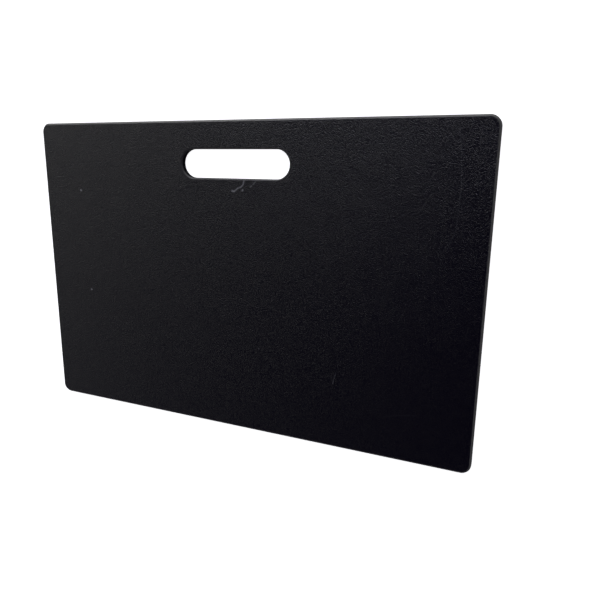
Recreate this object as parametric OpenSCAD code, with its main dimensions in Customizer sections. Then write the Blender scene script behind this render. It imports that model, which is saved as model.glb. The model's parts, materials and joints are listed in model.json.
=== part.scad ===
// Mortar board of the hand-held kind: one flat sheet of plastic with rounded corners, bevelled edges and
// a hand slot.
// +X runs along the long edges, +Y towards the hand slot, and +Z out of the face that carries the mortar.
// The origin is the centre of the underside. All lengths are in millimetres.

/* [Board] */
// Length of the board, along X
board_length = 432; // [300:1:550]
// Width of the board, along Y
board_width = 281; // [200:1:400]
// Thickness of the sheet
sheet_thickness = 6.35; // [4:0.05:10]
// Radius of the four corners, seen from above
corner_radius = 8.5; // [4:0.5:40]
// Width of the 45 degree bevel on the outer edge, on both faces
edge_bevel = 1.2; // [0.4:0.1:1.8]

/* [Hand slot] */
// Length of the slot, from one rounded end to the other
slot_length = 105; // [80:1:160]
// Height of the slot, across its straight sides
slot_height = 24.6; // [20:0.2:40]
// Width of the grip, between the slot and the board's nearest long edge
grip_width = 24.3; // [15:0.1:40]
// Width of the 45 degree bevel on the slot's rim, on both faces
rim_bevel = 0.8; // [0.4:0.1:1.8]

/* [Hidden] */
// How far the slot's cutter passes each face
overcut = 1;
// Centres of the corner arcs
corner_x = board_length / 2 - corner_radius;
corner_y = board_width / 2 - corner_radius;
// Centre of the slot, and of the arcs at its two ends
slot_y = board_width / 2 - grip_width - slot_height / 2;
slot_end_x = (slot_length - slot_height) / 2;
$fn = 96;

// Section of the sheet's outer edge: x runs outwards from a corner arc's centre, y up through the sheet.
module edge_section() {
    face_end = corner_radius - edge_bevel;
    polygon([
        [0, 0], [face_end, 0], [corner_radius, edge_bevel],
        [corner_radius, sheet_thickness - edge_bevel], [face_end, sheet_thickness], [0, sheet_thickness]
    ]);
}

// Straight run of the outer edge, facing +X, with its length along Y.
module edge_run(length) {
    translate([0, length / 2, 0]) rotate([90, 0, 0]) linear_extrude(length) edge_section();
}

// The sheet before the slot is cut: a middle, four edge runs and four quarter-turn corners.
module blank() {
    translate([-corner_x, -corner_y, 0]) cube([2 * corner_x, 2 * corner_y, sheet_thickness]);
    for (turn = [0, 180]) rotate(turn) {
        translate([corner_x, 0, 0]) edge_run(2 * corner_y);
        translate([0, corner_y, 0]) rotate(90) edge_run(2 * corner_x);
        translate([corner_x, corner_y, 0]) rotate_extrude(angle = 90) edge_section();
        translate([-corner_x, corner_y, 0]) rotate(90) rotate_extrude(angle = 90) edge_section();
    }
}

// Section of what the slot removes: x runs outwards from the slot's middle line, y up through the sheet.
module slot_section() {
    wall = slot_height / 2;
    cutter_end = wall + rim_bevel + overcut;
    polygon([
        [0, -overcut], [cutter_end, -overcut], [wall, rim_bevel],
        [wall, sheet_thickness - rim_bevel], [cutter_end, sheet_thickness + overcut],
        [0, sheet_thickness + overcut]
    ]);
}

// The slot: two half-round ends joined by straight sides, wider at both faces where the rim is bevelled.
module slot_cutter() {
    for (side = [0, 180]) rotate(side) {
        translate([slot_end_x, 0, 0]) rotate(-90) rotate_extrude(angle = 180) slot_section();
        translate([-slot_end_x, 0, 0]) rotate([90, 0, 90]) linear_extrude(2 * slot_end_x) slot_section();
    }
}

module board() {
    color([0.12, 0.12, 0.13]) difference() {
        blank();
        translate([0, slot_y, 0]) slot_cutter();
    }
}

board();
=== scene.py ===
"""A black plastic mortar board with a hand slot, lying on a pale floor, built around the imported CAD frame."""
import json
import math

import bpy
import numpy as np
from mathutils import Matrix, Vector
from mathutils.geometry import delaunay_2d_cdt


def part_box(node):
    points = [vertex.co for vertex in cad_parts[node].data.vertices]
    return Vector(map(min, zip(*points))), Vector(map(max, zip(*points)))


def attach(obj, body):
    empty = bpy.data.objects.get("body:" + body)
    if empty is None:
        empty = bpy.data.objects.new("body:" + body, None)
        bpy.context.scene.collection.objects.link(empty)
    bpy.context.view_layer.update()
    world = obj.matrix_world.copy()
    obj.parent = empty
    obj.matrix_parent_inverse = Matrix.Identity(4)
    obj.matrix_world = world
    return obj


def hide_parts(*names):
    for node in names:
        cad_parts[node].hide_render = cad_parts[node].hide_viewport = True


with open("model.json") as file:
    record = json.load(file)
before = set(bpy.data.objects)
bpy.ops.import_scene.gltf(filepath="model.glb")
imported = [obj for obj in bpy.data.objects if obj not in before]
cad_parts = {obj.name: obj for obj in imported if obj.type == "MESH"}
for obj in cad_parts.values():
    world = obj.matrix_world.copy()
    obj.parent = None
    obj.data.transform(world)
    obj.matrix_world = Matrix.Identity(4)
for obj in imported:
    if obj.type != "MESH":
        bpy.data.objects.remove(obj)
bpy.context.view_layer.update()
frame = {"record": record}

MM = 0.001

# Sizes of the CAD design that its box doesn't give, in metres.
CORNER_RADIUS = 8.5 * MM
EDGE_BEVEL = 1.2 * MM
RIM_BEVEL = 0.8 * MM
SLOT_LENGTH = 105 * MM
SLOT_HEIGHT = 24.6 * MM

board_low, board_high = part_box("board")
LENGTH = board_high.x - board_low.x
WIDTH = board_high.y - board_low.y
THICKNESS = board_high.z - board_low.z
SLOT_Y = next(m["pos_m"][1] for m in frame["record"]["mounts"] if m["name"] == "hand_slot")

# How finely the mesh is made, in metres.
EDGE_SPACING = 1.2 * MM     # between points along the outline and the slot's rim
FACE_SPACING = 5 * MM       # between points across the two flat faces
SCUFF_SPACING = 0.4 * MM    # between points on and beside a scratch
SUPPORT_WIDTH = 0.25 * MM   # the flat band that keeps a face flat right up to its bevel
ARRIS = 0.3 * MM            # how far a bevel's two corners are softened
ARRIS_STEPS = 3             # strips across a softened corner
SAME_POINT = 1e-6           # how far apart two heights or points may be and still count as one

# How worn and pale the bevels are: 1 is the palest. The slot's rim is kept less pale than the outer edge as
# painted shade.
EDGE_WEAR = 1.0
# Painted shade: the slot's rim bevel gets less of the pale cut colour than the outer edge, so it reads darker.
RIM_WEAR_AND_SHADE = 0.45

# The grain of the moulded faces has three layers, each (features per metre, share of the bump's height).
PEBBLES = (1400.0, 0.5)
TOOTH = (1900.0, 0.18)
GROUND = (520.0, 0.12)
CUTTER_LINES = 0.05         # share of the bump's height that the lines along the cut surfaces have
BUMP_HEIGHT = 0.44 * MM
CUT_ROUGHNESS = 0.42        # of the outer edge and the slot's wall

# Colours, as red, green, blue and opacity.
BLACK = (0.0006, 0.0003, 0.0015, 1)
SOFT_BLACK = (0.0009, 0.0006, 0.0020, 1)
WORN_GREY = (0.12, 0.121, 0.101, 1)
SCUFF_GREY = (0.25, 0.25, 0.252, 1)
HORIZON = (0.22, 0.225, 0.21, 1)
OVERHEAD = (0.01, 0.004, 0.05, 1)
BELOW = (0.0, 0.0, 0.0, 1)
WHITE = (1, 1, 1, 1)

# The room, in metres, and how much the floor shines by itself.
FLOOR_SIZE = 60.0
FLOOR_GAP = 0.1 * MM
FLOOR_GLOW = 1.0
PANEL_DISTANCE = 2.6

# The camera: how far it is to the right of the board's centre, in from the edge beside the slot and above the
# face, as shares of the board's length. Its turns about X, Y and Z are in degrees, its lens in millimetres.
CAMERA_RIGHT, CAMERA_IN, CAMERA_UP = 0.5727, 0.0898, 1.0112
CAMERA_TURNS = (-13.21, 22.80, 0.81)
CAMERA_LENS = 33.88

# Marks on the mortar face, in millimetres from its centre: the path, half-width, depth, and how grey it is.
SCUFFS = [
    ([(10.1, 90.0), (8.9, 86.4), (7.2, 84.7), (4.0, 83.6), (2.2, 82.1), (0.4, 80.8)], 0.75, 0.05, 0.95),
    ([(0.8, 81.0), (0.2, 80.7), (-1.8, 81.2)], 0.95, 0.05, 1.1),
    ([(8.9, 82.1), (8.3, 81.8)], 0.95, 0.04, 1.0),
    ([(21.2, 89.4), (18.7, 87.0)], 0.65, 0.03, 0.5),
    ([(17.1, 85.6), (16.3, 85.0)], 0.8, 0.03, 0.65),
    ([(98.0, -71.2), (95.6, -81.0)], 0.35, 0.06, 0.4),
    ([(94.1, -71.6), (95.4, -80.6)], 0.3, 0.04, 0.16),
    ([(100.7, -59.2), (99.3, -64.7)], 0.3, 0.03, 0.12),
    ([(187, 134), (190, 112), (191.5, 88), (190, 57), (184, 41)], 0.3, 0.03, 0.19),
    ([(142.5, -102.6), (158, -98.6), (170, -96.8)], 0.3, 0.03, 0.09),
    ([(-171.9, 77.1), (-171.3, 76.9)], 0.8, 0.05, 3.0),
    ([(-167.4, -22.2), (-166.9, -22.4)], 0.8, 0.05, 2.0),
    ([(23.6, -59.0), (24.0, -59.1)], 0.6, 0.05, 0.7),
]


# ---------------------------------------------------------------- mesh of the board

def rounded_outline(half_length, half_width, radius, centre_y):
    """Points and outward normals along a rounded rectangle, or a slot if the radius is half its width."""
    points, normals = [], []
    arc_count = round(radius * math.pi / EDGE_SPACING)
    corners = [(1, 1), (-1, 1), (-1, -1), (1, -1)]
    for turn, (sx, sy) in enumerate(corners):
        centre = np.array([sx * (half_length - radius), sy * (half_width - radius) + centre_y])
        for step in range(arc_count + 1):
            angle = math.pi / 2 * (turn + step / arc_count)
            normal = np.array([math.cos(angle), math.sin(angle)])
            points.append(centre + radius * normal)
            normals.append(normal)
        sx2, sy2 = corners[(turn + 1) % 4]
        next_centre = np.array([sx2 * (half_length - radius), sy2 * (half_width - radius) + centre_y])
        run = np.linalg.norm(next_centre - centre)
        count = round(run / EDGE_SPACING)
        for step in range(1, count):
            points.append(points_between(centre, next_centre, step / count) + radius * normals[-1])
            normals.append(normals[-1])
        if run < SAME_POINT:
            points.pop()
            normals.pop()
    return np.array(points), np.array(normals)


def points_between(a, b, share):
    """The point that lies this share of the way from a to b."""
    return a + (b - a) * share


def softened(before, corner, after):
    """A corner of the section rounded off, as a short curve that starts and ends ARRIS away from it."""
    before, corner, after = np.array(before), np.array(corner), np.array(after)
    start = corner + (before - corner) / np.linalg.norm(before - corner) * ARRIS
    end = corner + (after - corner) / np.linalg.norm(after - corner) * ARRIS
    curve = []
    for step in range(ARRIS_STEPS + 1):
        t = step / ARRIS_STEPS
        curve.append(points_between(points_between(start, corner, t), points_between(corner, end, t), t))
    return curve


def edge_section(bevel):
    """How far in from the sheet's edge, and how high, each ring lies, from the top face to the underside."""
    face = (bevel + ARRIS + SUPPORT_WIDTH, THICKNESS)
    top, side, middle = (bevel, THICKNESS), (0, THICKNESS - bevel), (0, THICKNESS / 2)
    upper = [face, *softened(face, top, side), *softened(top, side, middle)]
    lower = [(depth, THICKNESS - height) for depth, height in reversed(upper)]
    return upper + lower


def distance_to_path(xy, path):
    """Distance of each point from a line of straight pieces."""
    best = np.full(len(xy), np.inf)
    for a, b in zip(path[:-1], path[1:]):
        along = b - a
        share = np.clip((xy - a) @ along / (along @ along), 0, 1)
        best = np.minimum(best, np.linalg.norm(xy - a - share[:, None] * along, axis=1))
    return best


def inside_slot(xy, margin=0.0):
    """Whether each point lies in the hand slot grown by the margin."""
    reach = (SLOT_LENGTH - SLOT_HEIGHT) / 2
    nearest = np.clip(xy[:, 0], -reach, reach)
    return np.hypot(xy[:, 0] - nearest, xy[:, 1] - SLOT_Y) < SLOT_HEIGHT / 2 + margin


def inside_board(xy, margin):
    """Whether each point lies in the board's outline shrunk by the margin."""
    inset = np.abs(xy) - np.array([LENGTH, WIDTH]) / 2 + CORNER_RADIUS
    reach = np.hypot(np.maximum(inset[:, 0], 0), np.maximum(inset[:, 1], 0))
    reach += np.minimum(np.max(inset, axis=1), 0)
    return reach < CORNER_RADIUS - margin


def grid(low, high, spacing):
    """Points in rows and columns over a rectangle."""
    xs = np.arange(low[0], high[0], spacing)
    ys = np.arange(low[1], high[1], spacing)
    return np.array(np.meshgrid(xs, ys)).reshape(2, -1).T


def scuff_paths():
    """The marks in metres."""
    return [(np.array(path) * MM, half * MM, depth * MM, grey) for path, half, depth, grey in SCUFFS]


def face_points():
    """Points inside a face: a coarse grid, and a fine one on and beside each scratch."""
    size = np.array([LENGTH, WIDTH])
    coarse = grid(-size / 2, size / 2, FACE_SPACING)
    coarse = coarse[inside_board(coarse, EDGE_BEVEL + FACE_SPACING * 0.6)]
    coarse = coarse[~inside_slot(coarse, RIM_BEVEL + FACE_SPACING * 0.6)]
    fine = []
    for path, half, _, _ in scuff_paths():
        reach = half + 3 * SCUFF_SPACING
        patch = grid(path.min(0) - reach, path.max(0) + reach, SCUFF_SPACING)
        patch = patch[distance_to_path(patch, path) < reach]
        coarse = coarse[distance_to_path(coarse, path) > reach + FACE_SPACING * 0.3]
        for other in fine:
            if len(patch):
                gap = np.linalg.norm(patch[:, None] - other[None], axis=2).min(1)
                patch = patch[gap > SCUFF_SPACING * 0.6]
        if len(patch):
            fine.append(patch)
    fine = np.concatenate(fine)
    fine = fine[~inside_slot(fine, RIM_BEVEL + ARRIS + SUPPORT_WIDTH + SCUFF_SPACING * 0.5)]
    fine = fine[inside_board(fine, EDGE_BEVEL + ARRIS + SUPPORT_WIDTH + SCUFF_SPACING * 0.5)]
    return np.concatenate([coarse, fine])


def triangulate(outer, inner, interior):
    """Triangles between the outer loop and the slot's loop, over the loops' points and the interior ones."""
    points = np.concatenate([outer, inner, interior])
    loops = [range(len(outer)), range(len(outer), len(outer) + len(inner))]
    edges = [(loop[k], loop[(k + 1) % len(loop)]) for loop in loops for k in range(len(loop))]
    verts, _, faces, *_ = delaunay_2d_cdt([tuple(p) for p in points], edges, [], 0, SAME_POINT / 10)
    verts, faces = np.array([tuple(v) for v in verts]), np.array(faces)
    if len(verts) != len(points) or np.abs(verts - points).max() > SAME_POINT:
        raise RuntimeError("the face's points were merged or moved")
    # The slot's loop bulges outwards everywhere, so only a triangle inside it has all three corners on it.
    on_slot = (faces >= len(outer)) & (faces < len(outer) + len(inner))
    return faces[~on_slot.all(axis=1)]


def board_mesh():
    """The whole board as one closed mesh: vertices, faces, how moulded each vertex is, and how worn, with
    painted shade on the slot's rim.
    """
    verts, faces, moulded, wear_and_rim_shade = [], [], [], []
    loops = {}
    edge = rounded_outline(LENGTH / 2, WIDTH / 2, CORNER_RADIUS, 0)
    rim = rounded_outline(SLOT_LENGTH / 2, SLOT_HEIGHT / 2, SLOT_HEIGHT / 2, SLOT_Y)
    # The sheet lies against the normals (-1) inside its edge, and along them (1) around the slot.
    outlines = {"edge": (edge, EDGE_BEVEL, -1, EDGE_WEAR), "rim": (rim, RIM_BEVEL, 1, RIM_WEAR_AND_SHADE)}
    for name, ((points, normals), bevel, inward, wear_and_shade) in outlines.items():
        section = edge_section(bevel)
        count, start = len(points), len(verts)
        pale = bevel + ARRIS * 1.5
        for ring, (depth, height) in enumerate(section):
            xy = points + normals * depth * inward
            verts += [(x, y, height) for x, y in xy]
            moulded += [1.0 if ring in (0, len(section) - 1) else 0.0] * count
            wear_and_rim_shade += [wear_and_shade if 0 < depth < pale else 0.0] * count
        for ring in range(len(section) - 1):
            a, b = start + ring * count, start + (ring + 1) * count
            for k in range(count):
                j = (k + 1) % count
                quad = (a + k, b + k, b + j, a + j)
                faces.append(quad if inward < 0 else quad[::-1])
        loops[name] = (points + normals * section[0][0] * inward, start, start + (len(section) - 1) * count)
    outer, top_outer, low_outer = loops["edge"]
    inner, top_inner, low_inner = loops["rim"]
    interior = face_points()
    triangles = triangulate(outer, inner, interior)
    for top, first_outer, first_inner in ((True, top_outer, top_inner), (False, low_outer, low_inner)):
        ids = list(range(first_outer, first_outer + len(outer)))
        ids += list(range(first_inner, first_inner + len(inner)))
        ids += list(range(len(verts), len(verts) + len(interior)))
        verts += [(x, y, THICKNESS if top else 0.0) for x, y in interior]
        moulded += [1.0] * len(interior)
        wear_and_rim_shade += [0.0] * len(interior)
        for a, b, c in triangles:
            faces.append((ids[a], ids[b], ids[c]) if top else (ids[c], ids[b], ids[a]))
    return np.array(verts), faces, np.array(moulded), np.array(wear_and_rim_shade)


def scuff_strength(verts):
    """How scuffed each vertex is, and how far it is pressed in, by its distance from the scratches."""
    grey, depth = np.zeros(len(verts)), np.zeros(len(verts))
    on_top = verts[:, 2] > THICKNESS - SAME_POINT
    for path, half, deep, strength in scuff_paths():
        share = distance_to_path(verts[:, :2], path) / half
        profile = np.exp(-2 * share ** 2) * on_top
        grey = np.maximum(grey, strength * profile)
        depth = np.maximum(depth, deep * profile)
    return grey, depth


def add_board():
    """The sheet with the marks pressed in, and with attributes that its material reads."""
    verts, faces, moulded, wear_and_rim_shade = board_mesh()
    grey, depth = scuff_strength(verts)
    verts[:, 2] -= depth
    mesh = bpy.data.meshes.new("board_sheet")
    mesh.from_pydata([tuple(v) for v in verts], [], [tuple(int(i) for i in f) for f in faces])
    for name, values in (("moulded", moulded), ("wear_and_rim_shade", wear_and_rim_shade), ("scuff", grey)):
        attribute = mesh.attributes.new(name, "FLOAT", "POINT")
        attribute.data.foreach_set("value", values.astype(np.float32))
    mesh.validate()
    mesh.shade_smooth()
    piece = bpy.data.objects.new("board_sheet", mesh)
    bpy.context.scene.collection.objects.link(piece)
    return piece


# ---------------------------------------------------------------- materials

class Graph:
    """Short calls that add and link the nodes of one shader."""

    def __init__(self, tree):
        self.tree = tree
        tree.nodes.clear()

    def add(self, kind, inputs=None, **settings):
        node = self.tree.nodes.new(kind)
        for name, value in settings.items():
            setattr(node, name, value)
        for name, value in (inputs or {}).items():
            if isinstance(value, bpy.types.NodeSocket):
                self.tree.links.new(value, node.inputs[name])
            else:
                node.inputs[name].default_value = value
        return node

    def math(self, operation, *values, clamp=False):
        node = self.add("ShaderNodeMath", dict(enumerate(values)), operation=operation, use_clamp=clamp)
        return node.outputs[0]

    def scaled(self, vector, scale):
        node = self.add("ShaderNodeMapping", {"Vector": vector, "Scale": scale})
        return node.outputs[0]

    def noise(self, vector, scale, detail=2.0, roughness=0.5):
        inputs = {"Vector": vector, "Scale": scale, "Detail": detail, "Roughness": roughness}
        return self.add("ShaderNodeTexNoise", inputs).outputs["Fac"]

    def ramp(self, value, low, high, start=0.0, end=1.0):
        inputs = {"Value": value, "From Min": low, "From Max": high, "To Min": start, "To Max": end}
        return self.add("ShaderNodeMapRange", inputs, clamp=True).outputs[0]

    def mix(self, share, a, b):
        node = self.add("ShaderNodeMix", data_type="RGBA")
        for socket, value in zip((node.inputs[0], node.inputs[6], node.inputs[7]), (share, a, b)):
            if isinstance(value, bpy.types.NodeSocket):
                self.tree.links.new(value, socket)
            else:
                socket.default_value = value
        return node.outputs[2]

    def mix_value(self, share, a, b):
        return self.add("ShaderNodeMix", {0: share, 2: a, 3: b}, data_type="FLOAT").outputs[0]

    def attribute(self, name):
        return self.add("ShaderNodeAttribute", attribute_name=name).outputs["Fac"]


def new_material(name):
    """A new material, and the graph of its nodes."""
    material = bpy.data.materials.new(name)
    material.use_nodes = True
    return material, Graph(material.node_tree)


def board_material():
    """Black polyethylene: pebbled and slightly glossy faces, smooth cut edges, pale bevels with painted shade
    on the slot's rim, and scuffs.
    """
    material, g = new_material("black_polyethylene")
    place = g.add("ShaderNodeTexCoord").outputs["Object"]
    moulded, wear_and_rim_shade, scuff = g.attribute("moulded"), g.attribute("wear_and_rim_shade"), g.attribute("scuff")

    # Pebbles about 0.7 mm across on a slightly uneven ground, with a finer tooth between them.
    cells = {"Vector": place, "Scale": PEBBLES[0], "Smoothness": 0.5, "Randomness": 1.0}
    pebbles = g.add("ShaderNodeTexVoronoi", cells, feature="SMOOTH_F1").outputs["Distance"]
    pebbles = g.ramp(pebbles, 0.1, 0.7, 1.0, 0.0)
    ground = g.noise(place, GROUND[0], 2.0, 0.6)
    tooth = g.noise(place, TOOTH[0], 2.0, 0.6)
    grain = g.math("ADD", g.math("MULTIPLY", pebbles, PEBBLES[1]), g.math("MULTIPLY", tooth, TOOTH[1]))
    grain = g.math("ADD", grain, g.math("MULTIPLY", ground, GROUND[1]))

    # Lines that the cutter leaves along the edges.
    lines = g.noise(g.scaled(place, (25.0, 25.0, 4200.0)), 1.0, 3.0, 0.6)
    lines = g.math("MULTIPLY", g.math("MULTIPLY", lines, CUTTER_LINES), g.math("SUBTRACT", 1.0, moulded))
    height = g.math("ADD", g.math("MULTIPLY", grain, moulded), lines)
    bump = g.add("ShaderNodeBump", {"Height": height, "Strength": 1.0, "Distance": BUMP_HEIGHT})

    # Scuffs break up over the grain, and the cut surfaces are rougher than the faces.
    rubbed = g.math("MULTIPLY", scuff, g.ramp(g.noise(place, 1500.0, 2.0), 0.3, 0.6, 0.6, 1.0))
    cloud = g.ramp(g.noise(place, 11.0, 4.0, 0.6), 0.3, 0.7)
    # The bevels' pale cut colour, turned down on the slot's rim as painted shade.
    colour = g.mix(wear_and_rim_shade, g.mix(cloud, BLACK, SOFT_BLACK), WORN_GREY)
    colour = g.mix(g.math("MINIMUM", rubbed, 1.0), colour, SCUFF_GREY)
    roughness = g.math("ADD", g.ramp(cloud, 0.0, 1.0, 0.28, 0.31), g.math("MULTIPLY", tooth, 0.05))
    roughness = g.mix_value(moulded, CUT_ROUGHNESS, roughness)
    roughness = g.math("ADD", roughness, g.math("MULTIPLY", rubbed, 0.2), clamp=True)
    shader = g.add("ShaderNodeBsdfPrincipled", {
        "Base Color": colour, "Roughness": roughness, "IOR": 1.5, "Normal": bump.outputs[0]})
    g.add("ShaderNodeOutputMaterial", {"Surface": shader.outputs[0]})
    return material


# ---------------------------------------------------------------- floor, light and camera

def add_floor():
    """A pale floor just under the board, which the board doesn't mirror."""
    material, g = new_material("pale_floor")
    place = g.add("ShaderNodeTexCoord").outputs["Object"]
    paper = g.ramp(g.noise(place, 3.0, 2.0), 0.3, 0.7, 0.83, 0.86)
    colour = g.add("ShaderNodeCombineColor", {0: paper, 1: paper, 2: paper}).outputs[0]
    shader = g.add("ShaderNodeBsdfPrincipled", {
        "Base Color": colour, "Roughness": 0.8,
        "Emission Color": WHITE, "Emission Strength": FLOOR_GLOW})
    g.add("ShaderNodeOutputMaterial", {"Surface": shader.outputs[0]})
    mesh = bpy.data.meshes.new("floor")
    reach, z = FLOOR_SIZE / 2, board_low.z - FLOOR_GAP
    corners = [(-reach, -reach, z), (reach, -reach, z), (reach, reach, z), (-reach, reach, z)]
    mesh.from_pydata(corners, [], [(0, 1, 2, 3)])
    mesh.materials.append(material)
    floor = bpy.data.objects.new("floor", mesh)
    bpy.context.scene.collection.objects.link(floor)
    floor.visible_glossy = False


def add_world():
    """A white backdrop as seen, and a dim studio as it lights the board: pale low down, and dark overhead."""
    world = bpy.data.worlds.new("studio")
    bpy.context.scene.world = world
    world.use_nodes = True
    g = Graph(world.node_tree)
    direction = g.add("ShaderNodeTexCoord").outputs["Generated"]
    up = g.add("ShaderNodeSeparateXYZ", {"Vector": direction}).outputs["Z"]
    colour = g.mix(g.ramp(up, 0.08, 0.3), HORIZON, OVERHEAD)
    colour = g.mix(g.ramp(up, -0.02, 0.0), BELOW, colour)
    seen = g.add("ShaderNodeLightPath").outputs["Is Camera Ray"]
    background = g.add("ShaderNodeBackground", {"Color": g.mix(seen, colour, WHITE)})
    g.add("ShaderNodeOutputWorld", {"Surface": background.outputs[0]})


def add_panel(name, azimuth, elevation, size, radiance, blue=1.0):
    """A soft panel that faces the board's centre. The angles are in degrees, azimuth from +X towards +Y."""
    light = bpy.data.lights.new(name, "AREA")
    light.shape = "RECTANGLE"
    light.size, light.size_y = size
    light.color = (1.0, 1.0, blue)
    light.energy = radiance * math.pi * size[0] * size[1]
    panel = bpy.data.objects.new(name, light)
    a, e = math.radians(azimuth), math.radians(elevation)
    outward = Vector((math.cos(a) * math.cos(e), math.sin(a) * math.cos(e), math.sin(e)))
    panel.location = outward * PANEL_DISTANCE
    panel.rotation_euler = outward.to_track_quat("Z", "Y").to_euler()
    bpy.context.scene.collection.objects.link(panel)


def add_camera():
    """The viewpoint: over the board's right-hand edge, near the slot's side, looking down and to the left."""
    data = bpy.data.cameras.new("camera")
    data.sensor_width, data.lens = 36, CAMERA_LENS
    camera = bpy.data.objects.new("camera", data)
    height = THICKNESS + CAMERA_UP * LENGTH
    camera.location = (CAMERA_RIGHT * LENGTH, WIDTH / 2 - CAMERA_IN * LENGTH, height)
    camera.rotation_mode = "ZXY"
    camera.rotation_euler = [math.radians(turn) for turn in CAMERA_TURNS]
    bpy.context.scene.collection.objects.link(camera)
    bpy.context.scene.camera = camera


board = add_board()
board.data.materials.append(board_material())
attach(board, "root")
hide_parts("board")

add_floor()
add_world()

# Each panel: azimuth, elevation, (width, height) in metres, radiance and how blue it is.
add_panel("softbox_middle", 105, 27, (1.20, 1.06), 6.9, 1.15)
add_panel("softbox_left", 137, 32, (1.16, 0.64), 4.6, 0.96)
add_panel("softbox_far_left", 166, 31, (1.14, 0.64), 1.7, 0.92)
add_panel("low_strip", 126, 9, (1.1, 0.5), 1.9, 1.15)
add_panel("low_right", 66, 22, (0.7, 0.5), 3.2, 1.2)
add_panel("front_fill", -130, 24, (4.0, 1.08), 0.15)
add_panel("left_fill", -168, 26, (1.3, 1.08), 0.4, 0.92)

add_camera()
bpy.context.scene.view_settings.view_transform = "Standard"
